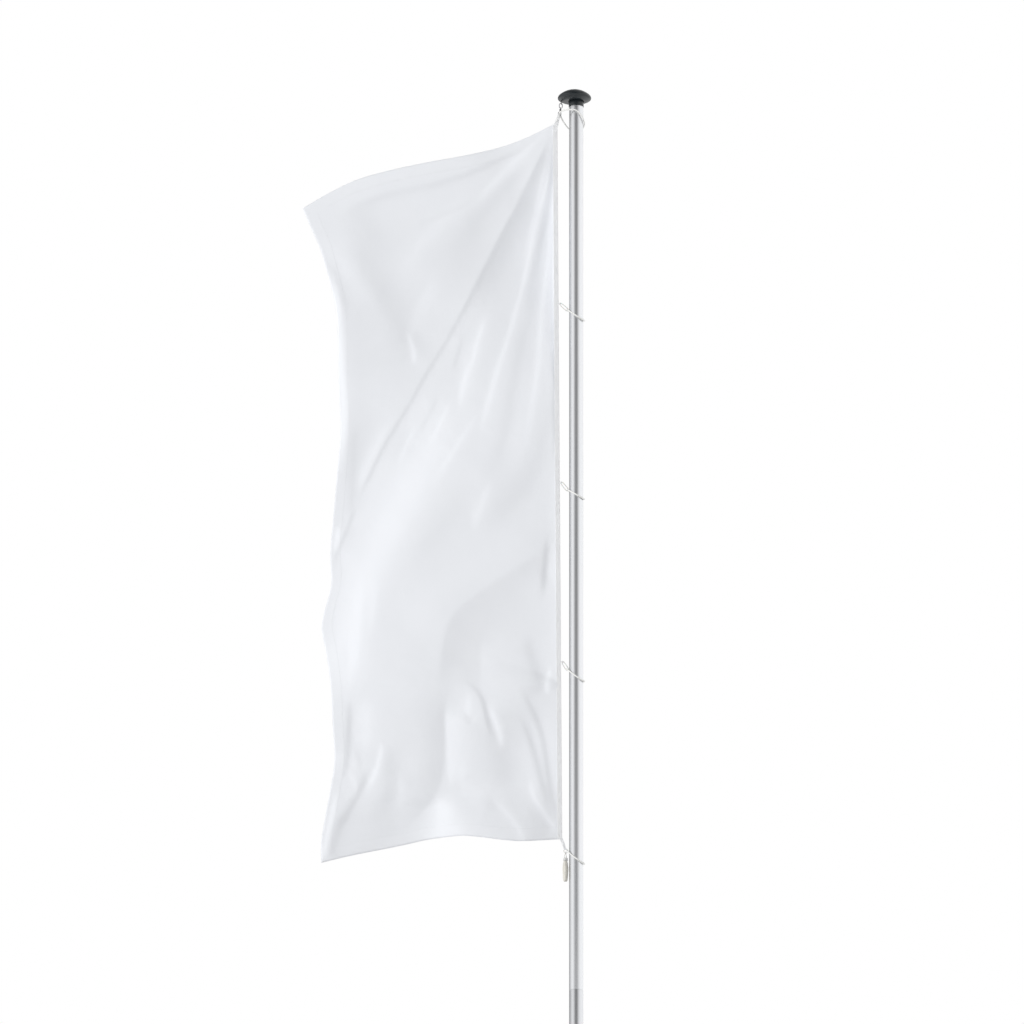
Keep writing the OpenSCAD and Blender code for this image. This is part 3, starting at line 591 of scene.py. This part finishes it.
CREASES = [
    # broad leans
    (-0.12, 0.22, 0.22, 0.2, 0.3, [(-0.28, -0.32), (-0.48, -0.60), (-0.60, -0.90), (-0.66, -1.20)]),
    (-0.09, 0.12, 0.12, 0.3, 0.3, [(-0.86, -1.40), (-0.92, -1.70), (-0.93, -2.10)]),
    (0.12, 0.06, 0.06, 0.3, 0.2, [(-0.10, -1.80), (-0.098, -2.30), (-0.095, -2.90), (-0.092, -3.50)]),
    (0.07, 0.10, 0.10, 0.3, 0.3, [(-0.34, -1.30), (-0.31, -1.70), (-0.28, -2.20)]),
    (-0.09, 0.45, 0.35, 0.3, 0.3, [(-0.95, -0.30), (-0.90, -0.90), (-0.95, -1.70)]),
    (0.07, 0.20, 0.20, 0.4, 0.3, [(-0.85, -2.50), (-0.90, -2.90), (-0.92, -3.50)]),
    (-0.10, 0.12, 0.12, 0.3, 0.5, [(-0.37, -3.25), (-0.34, -3.70), (-0.28, -4.10)]),
    (-0.09, 0.12, 0.12, 0.3, 0.3, [(-1.12, -3.85), (-1.05, -4.05), (-1.00, -4.20)]),
    (-0.20, 0.016, 0.010, 0.3, 0.4, [(-0.40, -0.40), (-0.60, -0.585), (-0.79, -0.665), (-0.98, -0.74)]),
    # the long crease, a narrow dark line
    (-0.32, 0.006, 0.010, 0.1, 0.1, [
        (-0.30, -0.56), (-0.45, -0.86), (-0.60, -1.17), (-0.70, -1.36), (-0.80, -1.53), (-0.90, -1.72),
        (-1.00, -1.89), (-1.10, -2.10), (-1.17, -2.25)]),
    (0.20, 0.03, 0.01, 0.3, 0.2, [(-0.95, -1.76), (-1.03, -1.88), (-1.12, -2.08), (-1.17, -2.20)]),
    (-0.28, 0.008, 0.010, 0.2, 0.3, [(-1.17, -2.25), (-1.21, -2.38), (-1.26, -2.50), (-1.29, -2.62)]),
    # left valley and its dimple
    (-0.17, 0.05, 0.08, 0.3, 0.2, [
        (-1.22, -0.72), (-1.12, -0.92), (-1.03, -1.08), (-0.97, -1.20), (-0.91, -1.32), (-0.87, -1.44)]),
    (0.10, 0.04, 0.04, 0.3, 0.4, [
        (-1.38, -0.72), (-1.28, -0.85), (-1.20, -0.98), (-1.12, -1.10), (-1.05, -1.22)]),
    (0.30, 0.012, 0.012, 0.4, 0.2, [(-0.90, -1.26), (-0.885, -1.33), (-0.865, -1.40), (-0.86, -1.48)]),
    (0.12, 0.03, 0.06, 0.4, 0.2, [(-0.72, -0.92), (-0.80, -1.10), (-0.86, -1.24), (-0.87, -1.34)]),
    (-0.20, 0.015, 0.02, 0.3, 0.4, [(-1.335, -0.88), (-1.28, -0.98), (-1.245, -1.10), (-1.21, -1.24)]),
    # left edge turned back
    (0.48, 0.020, 0.022, 0.2, 0.3, [
        (-1.33, -0.90), (-1.285, -1.05), (-1.265, -1.25), (-1.25, -1.50), (-1.235, -1.75), (-1.25, -1.95),
        (-1.28, -2.20)]),
    (-0.15, 0.02, 0.03, 0.3, 0.3, [(-1.19, -1.75), (-1.185, -1.95), (-1.19, -2.15), (-1.20, -2.35)]),
    (0.35, 0.012, 0.02, 0.3, 0.3, [(-1.265, -2.36), (-1.27, -2.45), (-1.285, -2.54)]),
    # light streaks of the middle
    (0.18, 0.04, 0.05, 0.4, 0.3, [
        (-0.42, -1.08), (-0.50, -1.25), (-0.55, -1.42), (-0.60, -1.60), (-0.63, -1.75)]),
    (0.20, 0.012, 0.012, 0.4, 0.3, [(-0.565, -1.42), (-0.60, -1.60), (-0.625, -1.75)]),
    (0.20, 0.012, 0.015, 0.4, 0.3, [(-0.50, -1.70), (-0.58, -1.84), (-0.68, -2.00), (-0.78, -2.17)]),
    (0.22, 0.008, 0.010, 0.3, 0.3, [(-0.47, -1.18), (-0.52, -1.32), (-0.55, -1.45), (-0.59, -1.56)]),
    (-0.20, 0.008, 0.008, 0.3, 0.3, [(-0.60, -1.30), (-0.63, -1.42), (-0.66, -1.52)]),
    (0.22, 0.007, 0.009, 0.3, 0.3, [(-0.66, -1.66), (-0.72, -1.80), (-0.79, -1.93)]),
    (-0.18, 0.008, 0.010, 0.3, 0.3, [(-0.72, -1.62), (-0.78, -1.75), (-0.85, -1.88)]),
    (0.18, 0.008, 0.008, 0.3, 0.3, [(-0.84, -1.80), (-0.90, -1.92), (-0.95, -2.05)]),
    (0.40, 0.15, 0.10, 0.35, 0.2, [
        (-0.58, -1.50), (-0.68, -1.78), (-0.80, -2.02), (-0.92, -2.25), (-1.04, -2.48), (-1.13, -2.70),
        (-1.19, -2.90), (-1.22, -3.10), (-1.24, -3.35), (-1.25, -3.48)]),
    (0.15, 0.05, 0.012, 0.3, 0.3, [
        (-1.12, -2.60), (-1.145, -2.80), (-1.155, -3.00), (-1.175, -3.15), (-1.20, -3.30)]),
    (0.12, 0.02, 0.02, 0.3, 0.3, [(-1.07, -2.65), (-1.08, -2.80), (-1.09, -3.00)]),
    (-0.12, 0.02, 0.02, 0.4, 0.4, [(-1.225, -3.00), (-1.225, -3.10), (-1.225, -3.20)]),
    # dark sweep below the second loop
    (-0.19, 0.10, 0.05, 0.4, 0.3, [
        (-0.12, -1.40), (-0.14, -1.75), (-0.19, -1.97), (-0.26, -2.12), (-0.35, -2.25), (-0.46, -2.36),
        (-0.58, -2.44)]),
    (-0.10, 0.08, 0.05, 0.4, 0.3, [
        (-0.50, -2.05), (-0.60, -2.22), (-0.70, -2.38), (-0.79, -2.50), (-0.92, -2.63)]),
    (0.15, 0.02, 0.02, 0.4, 0.3, [(-0.44, -2.08), (-0.50, -2.25), (-0.56, -2.42)]),
    (-0.60, 0.010, 0.010, 0.3, 0.3, [
        (-0.113, -1.00), (-0.110, -1.30), (-0.108, -1.60), (-0.112, -1.85), (-0.125, -2.05)]),
    # light sweep, then the dark one under it
    (0.10, 0.10, 0.10, 0.2, 0.3, [
        (-0.12, -2.22), (-0.28, -2.42), (-0.45, -2.56), (-0.65, -2.68), (-0.85, -2.85), (-0.95, -3.10)]),
    (-0.20, 0.012, 0.18, 0.1, 0.2, [
        (-0.15, -2.50), (-0.30, -2.61), (-0.45, -2.71), (-0.58, -2.81), (-0.66, -2.90), (-0.70, -3.05),
        (-0.71, -3.20), (-0.71, -3.30)]),
    (-0.45, 0.012, 0.012, 0.3, 0.4, [(-0.15, -2.42), (-0.165, -2.55), (-0.175, -2.70), (-0.18, -2.80)]),
    (0.14, 0.010, 0.08, 0.3, 0.3, [(-0.49, -2.98), (-0.495, -3.12), (-0.495, -3.30)]),
    # folds over the bottom hem
    (-0.50, 0.008, 0.012, 0.3, 0.3, [
        (-0.62, -3.225), (-0.55, -3.27), (-0.505, -3.33), (-0.48, -3.42), (-0.46, -3.50), (-0.425, -3.59)]),
    (0.40, 0.012, 0.015, 0.3, 0.3, [(-0.475, -3.35), (-0.435, -3.45), (-0.405, -3.54), (-0.398, -3.64)]),
    (-0.26, 0.10, 0.012, 0.25, 0.3, [
        (-0.62, -3.25), (-0.70, -3.34), (-0.705, -3.50), (-0.71, -3.70), (-0.75, -3.86), (-0.86, -4.00),
        (-0.95, -4.10)]),
    (0.26, 0.006, 0.09, 0.2, 0.25, [(-0.69, -3.36), (-0.685, -3.55), (-0.68, -3.70), (-0.665, -3.86)]),
    (-0.16, 0.02, 0.03, 0.2, 0.3, [(-0.68, -3.89), (-0.58, -3.91), (-0.48, -3.90), (-0.40, -3.98)]),
    (0.22, 0.015, 0.015, 0.3, 0.1, [(-0.46, -3.88), (-0.38, -3.96), (-0.32, -4.04), (-0.27, -4.13)]),
    (-0.14, 0.08, 0.06, 0.3, 0.5, [(-0.44, -3.45), (-0.40, -3.70), (-0.36, -3.90), (-0.28, -4.05)]),
    (-0.35, 0.012, 0.015, 0.3, 0.3, [
        (-0.32, -3.22), (-0.25, -3.37), (-0.205, -3.47), (-0.175, -3.58), (-0.155, -3.72), (-0.13, -3.88),
        (-0.10, -4.02)]),
    (-0.35, 0.015, 0.018, 0.3, 0.3, [
        (-0.32, -3.40), (-0.27, -3.50), (-0.235, -3.60), (-0.20, -3.73), (-0.17, -3.85), (-0.125, -3.98)]),
    (0.30, 0.012, 0.012, 0.3, 0.1, [(-0.25, -3.76), (-0.225, -3.88), (-0.16, -3.99), (-0.10, -4.07)]),
    (-0.18, 0.03, 0.03, 0.3, 0.3, [(-0.28, -2.95), (-0.24, -3.10), (-0.20, -3.22), (-0.17, -3.32)]),
    (0.35, 0.012, 0.012, 0.3, 0.3, [(-0.125, -3.15), (-0.155, -3.24), (-0.150, -3.33)]),
    (0.22, 0.018, 0.020, 0.35, 0.3, [(-0.56, -3.29), (-0.575, -3.37), (-0.565, -3.46)]),
    (-0.20, 0.015, 0.015, 0.35, 0.3, [(-0.60, -3.40), (-0.565, -3.47), (-0.52, -3.47)]),
    # bottom left
    (0.16, 0.010, 0.012, 0.3, 0.4, [(-1.22, -3.72), (-1.18, -3.80), (-1.16, -3.88)]),
    (-0.16, 0.012, 0.012, 0.3, 0.4, [(-1.17, -3.60), (-1.15, -3.68), (-1.15, -3.76)]),
    (0.12, 0.02, 0.02, 0.3, 0.3, [(-0.95, -3.72), (-0.93, -3.84), (-0.95, -3.96)]),
    (0.35, 0.010, 0.015, 0.3, 0.3, [(-1.035, -3.55), (-1.04, -3.65), (-1.07, -3.76), (-1.125, -3.87)]),
    (-0.30, 0.02, 0.012, 0.3, 0.3, [(-1.09, -3.70), (-1.14, -3.84), (-1.19, -3.94), (-1.27, -4.10)]),
    (-0.35, 0.012, 0.015, 0.3, 0.3, [(-1.20, -3.30), (-1.205, -3.50), (-1.215, -3.68), (-1.24, -3.82)]),
    (0.14, 0.05, 0.05, 0.3, 0.3, [(-1.11, -3.30), (-1.12, -3.50), (-1.11, -3.66)]),
    (-0.16, 0.05, 0.05, 0.3, 0.3, [(-1.00, -3.55), (-0.98, -3.75), (-1.00, -3.92), (-1.10, -4.05)]),
    (0.40, 0.012, 0.015, 0.3, 0.1, [(-1.265, -3.83), (-1.295, -3.98), (-1.325, -4.12), (-1.34, -4.24)]),
    (-0.20, 0.02, 0.02, 0.3, 0.1, [(-1.235, -3.95), (-1.265, -4.08), (-1.30, -4.22)]),
]
HOIST_X = -0.088


def ripples(x, z):
    y = np.zeros(x.shape)
    for folds, spread in ((FAN, 0.85), (CREASES, 0.0)):
        for slope, left, right, start, end, path in folds:
            side, near, place = across(x, z, path)
            width = np.where(side < 0, left, right) * (1 - spread + spread * place)
            fade = smooth(0, start, place) * smooth(0, end, 1 - place)
            y -= slope * fade * width * np.tanh(side / width) * np.exp(-(near / (6 * max(left, right))) ** 2)
    return y


def depth(x, z):
    """How far the cloth stands back from the pole's own plane. It is held there along its hoist."""
    reach = 0.014 + 0.128 * smooth(-1.7, -2.4, z)
    held = ripples(np.full(x.shape, HOIST_X), z)
    return ripples(x, z) - held * np.exp(-((x - HOIST_X) / reach) ** 2)


FLAT_WIDTH, FLAT_LENGTH = 1.5, 4.0
COLUMNS, ROWS = 132, 340
CLOTH_THICKNESS = 0.0008
HEM = 0.07
WAVE_LIFT = 0.32  # how far a fold that stands back is lifted, as a share of its depth
STITCH_LENGTH = 0.006
STITCH_HALF_WIDTH = 0.0012
KNIT_ACROSS, KNIT_DOWN = 0.0016, 0.0013  # size of one stitch of the knit
knit, paint, place, shader = finish("knit", roughness=0.75, sheen_weight=0.15, sheen_roughness=0.4)
flat = paint.node("UVMap", out=0)
across_cloth = paint.node("SeparateXYZ", {0: flat}, out=0) * FLAT_WIDTH
down_cloth = paint.node("SeparateXYZ", {0: flat}, out=1) * FLAT_LENGTH
edge_gap = paint.sum("MINIMUM", across_cloth, paint.sum("MINIMUM", down_cloth, FLAT_LENGTH - down_cloth))
hem_mask = 1 - edge_gap.above(HEM)
stitch_line = 1 - abs(edge_gap - HEM * 0.93).above(STITCH_HALF_WIDTH)
dashes = ((across_cloth + down_cloth) * (2 * math.pi / STITCH_LENGTH)).sine().above(-0.4)
stitches = stitch_line * dashes
courses = ((across_cloth * (2 * math.pi / KNIT_ACROSS)).sine()
           * (down_cloth * (2 * math.pi / KNIT_DOWN)).sine())
crumple = paint.noise(flat, 1.0, 5, (12, 26, 1))
cloud = paint.noise(flat, 1.0, 3, (3, 6, 1))
tone = crumple * 0.35 + cloud * 0.35 + hem_mask * 0.08 - stitches * 0.05 + 0.1
link(shader, base_color=tone.blend((0.832, 0.850, 0.888), (0.880, 0.896, 0.928)),
     normal=(courses * 0.00003 + crumple * 0.002 + hem_mask * 0.0004 + stitches * 0.0001).bump(1.0))

bm = bmesh.new()
bm.loops.layers.uv.new("weave")
bmesh.ops.create_grid(bm, x_segments=COLUMNS, y_segments=ROWS, size=0.5, calc_uvs=True)
cloth = bpy.data.meshes.new("flag_cloth_hung")
bm.to_mesh(cloth)
bm.free()
place_flat = np.empty(len(cloth.vertices) * 3)
cloth.vertices.foreach_get("co", place_flat)
place_flat = place_flat.reshape(-1, 3)
s = np.rint((0.5 - place_flat[:, 0]) * COLUMNS).astype(int)
t = np.rint((0.5 - place_flat[:, 1]) * ROWS).astype(int)
top, low, fly = spline(TOP_EDGE, COLUMNS + 1), spline(LOW_EDGE, COLUMNS + 1), spline(FLY_EDGE, ROWS + 1)
u, v = (s / COLUMNS)[:, None], (t / ROWS)[:, None]
hoist = top[0] + (low[0] - top[0]) * v
hung = (top[s] * (1 - v) + low[s] * v + hoist * (1 - u) + fly[t] * u
        - (top[0] * (1 - u) + top[-1] * u) * (1 - v) - (low[0] * (1 - u) + low[-1] * u) * v)
back = depth(hung[:, 0], hung[:, 1])
spot = np.stack([hung[:, 0], back, POLE_TOP + hung[:, 1] + WAVE_LIFT * back], axis=1)
cloth.vertices.foreach_set("co", spot.ravel())
cloth.update()
flag = put("flag_cloth_hung", cloth, "turning_head", "flag_fabric", knit, "flag_cloth")
doubled = flag.vertex_groups.new(name="doubled")
gap = np.minimum(FLAT_LENGTH * np.minimum(v, 1 - v), FLAT_WIDTH * (1 - u)).ravel()
doubled.add([int(i) for i in np.nonzero(gap < HEM)[0]], 1.0, "REPLACE")
wall = flag.modifiers.new("wall", "SOLIDIFY")
wall.thickness = 2 * CLOTH_THICKNESS
wall.offset = 0
wall.vertex_group = "doubled"
wall.thickness_vertex_group = 0.5

# ---- Hoist band
# White webbing folded over the flag's edge and sewn down, with a small eye at each tie. Its top end is cut to
# the slant of the flag's upper hem, and a wider strap joins that corner to the snap hook.
WEAVE_HEIGHT, WEAVE_WIDTH = 0.0022, 0.0026
webbing, paint, place, shader = finish("webbing", roughness=0.8, sheen_weight=0.2)
height = paint.node("SeparateXYZ", {0: place}, out=2)
width = paint.node("SeparateXYZ", {0: place}, out=0)
ribs = (height * (2 * math.pi / WEAVE_HEIGHT)).sine() * (width * (2 * math.pi / WEAVE_WIDTH)).sine()
soil = paint.noise(place, 9, 4)
link(shader, base_color=(ribs * 0.15 + soil * 0.9).blend((0.84, 0.85, 0.87), (0.93, 0.935, 0.945)),
     normal=(ribs * 0.0003 + soil * 0.001).bump(1.0))
BAND_SLANT = 0.020
STRAP_THICKNESS = 0.006
STRAP_PUCKER = 1.2  # millimetres
band = softened("hoist_band", "webbing", webbing, 0.0015, "turning_head")
band_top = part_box("hoist_band")[1][2]
for vert in band.data.vertices:
    if vert.co.z > band_top - 0.01 and vert.co.x < -0.115:
        vert.co.z -= BAND_SLANT
for number in range(2, 5):
    softened(f"hoist_tab_{number}", "webbing", webbing, 0.0008, "turning_head")

# Each strap's top and lower end from the pole's top, and its width at both, in millimetres
STRAPS = [
    ("hoist_tab_1", (-90.5, -72), (-109, -136), 14, 24),
    ("hoist_tab_5", (-80, -4112), (-58, -4174.5), 16, 12)]
for name, (top_x, top_z), (end_x, end_z), top_width, end_width in STRAPS:
    bm = bmesh.new()
    bmesh.ops.create_grid(bm, x_segments=6, y_segments=14, size=0.5)
    top, way_down = Vector((top_x, 0, top_z)), Vector((end_x - top_x, 0, end_z - top_z))
    sideways = Vector((-way_down.z, 0, way_down.x)).normalized()
    for vert in bm.verts:
        part, side = vert.co.y + 0.5, vert.co.x
        wide = top_width + (end_width - top_width) * part
        pucker = STRAP_PUCKER * math.sin(9 * part + 4 * side)
        vert.co = (top + way_down * part + sideways * (side * wide) + Vector((0, pucker, 0))) / 1000
        vert.co.z += POLE_TOP
    strap_mesh = bpy.data.meshes.new(name + "_strap")
    bm.to_mesh(strap_mesh)
    bm.free()
    strap = put(name + "_strap", strap_mesh, "turning_head", "webbing", webbing, name)
    folded = strap.modifiers.new("folded", "SOLIDIFY")
    folded.thickness = STRAP_THICKNESS
    folded.offset = 0
    eased = strap.modifiers.new("eased", "SUBSURF")
    eased.levels = eased.render_levels = 1

# ---- Hoist hooks
# White moulded nylon rings, long and closed like a link of chain: each hangs in the eye of a tab and holds
# one loop of rope at its lower end.
nylon, paint, place, shader = finish("nylon", subsurface_weight=0.1)
flow = paint.noise(place, 160, 3)
link(shader, base_color=flow.blend((0.66, 0.66, 0.64), (0.80, 0.80, 0.78)), roughness=flow * 0.2 + 0.3,
     normal=flow.bump(0.0003))
HOOK_WIRE = 0.005
# Where each ring hangs and where it ends, then its half widths along the way, in millimetres
HOOK_EYES = [(-86.5, -1131, -44, -1171), (-80.0, -2131, -44, -2177), (-73.5, -3131, -44, -3179)]
HOOK_WIDTHS = [(0, 0), (0.03, 3.5), (0.12, 5.5), (0.35, 7), (0.6, 7.5), (0.82, 7), (0.95, 4.5), (1, 0)]

for number, (x, z, end_x, end_z) in enumerate(HOOK_EYES, 1):
    start = Vector((x, 0, z)) / 1000 + Vector((0, 0, POLE_TOP))
    reach = Vector((end_x - x, 0, end_z - z)) / 1000
    aside = Vector((-reach.z, 0, reach.x)).normalized()
    round_way = [start + reach * part + aside * wide / 1000 for part, wide in HOOK_WIDTHS]
    back_way = [start + reach * part - aside * wide / 1000 for part, wide in HOOK_WIDTHS[-2:0:-1]]
    hook = wire(f"hoist_hook_{number}_ring", round_way + back_way, HOOK_WIRE, 4, 8, closed=True)
    put(f"hoist_hook_{number}_ring", hook, "turning_head", "hook_plastic", nylon, f"hoist_hook_{number}")

# ---- Weight
# A nylon ring in the corner's strap takes the last loop and a short cord, on which hangs a beige cloth
# pouch of shot, gathered and taped at its neck.
softened("corner_ring", "hook_plastic", nylon, 0.0003, "turning_head")
TAPE_TURN = 0.004
tape, paint, place, shader = finish("tape", roughness=0.6)
wound = paint.node("SeparateXYZ", {0: place}, out=2)
turns = (wound * (2 * math.pi / TAPE_TURN)).sine()
creases = paint.noise(place, 300, 3)
link(shader, base_color=(turns * 0.2 + creases).blend((0.64, 0.64, 0.63), (0.80, 0.80, 0.79)),
     normal=(turns * 0.0004 + creases * 0.0008).bump(1.0))
softened("weight_neck", "neck_tape", tape, 0.002, "turning_head")
pouch_cloth, paint, place, shader = finish("pouch_cloth", roughness=0.7, sheen_weight=0.15)
pulled = paint.noise(place, 1.0, 3, (260, 260, 26))
threads = paint.noise(place, 1200, 2)
link(shader, base_color=(pulled * 0.7 + threads * 0.3).blend((0.62, 0.60, 0.54), (0.82, 0.80, 0.74)),
     normal=(pulled * 0.002 + threads * 0.0004).bump(1.0))
pouch_low, pouch_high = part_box("weight_pouch")
pouch_centre = ((pouch_low[0] + pouch_high[0]) / 2, (pouch_low[1] + pouch_high[1]) / 2)
pouch_radius = (pouch_high[0] - pouch_low[0]) / 2
pouch_length = pouch_high[2] - pouch_low[2]
# The filled pouch's half section, as shares of its radius and its length
POUCH = [(0, 0), (0.25, 0.01), (0.62, 0.02), (0.72, 0.06), (0.80, 0.16), (0.90, 0.34), (0.99, 0.55), (0.96, 0.72),
         (0.86, 0.84), (0.74, 0.92), (0.66, 0.97), (0.40, 1.0), (0, 1.0)]


def gathered(bm):
    """Lengthways puckers, deepest at the neck and at the sewn end."""
    for vert in bm.verts:
        out = Vector((vert.co.x - pouch_centre[0], vert.co.y - pouch_centre[1], 0))
        part = (vert.co.z - pouch_low[2]) / pouch_length
        turned = math.atan2(out.y, out.x)
        pull = 0.05 + 0.12 * (2 * part - 1) ** 2
        vert.co -= out * pull * (0.5 + 0.5 * math.sin(9 * turned + 1.3 * math.sin(2 * turned)))


pouch = lathe("weight_pouch_sewn", [(pouch_radius * r, pouch_low[2] + pouch_length * h) for r, h in POUCH],
              "turning_head", "pouch_cover", pouch_cloth, "weight_pouch", centre=pouch_centre,
              change=gathered)
rounded = pouch.modifiers.new("rounded", "SUBSURF")
rounded.levels = rounded.render_levels = 1
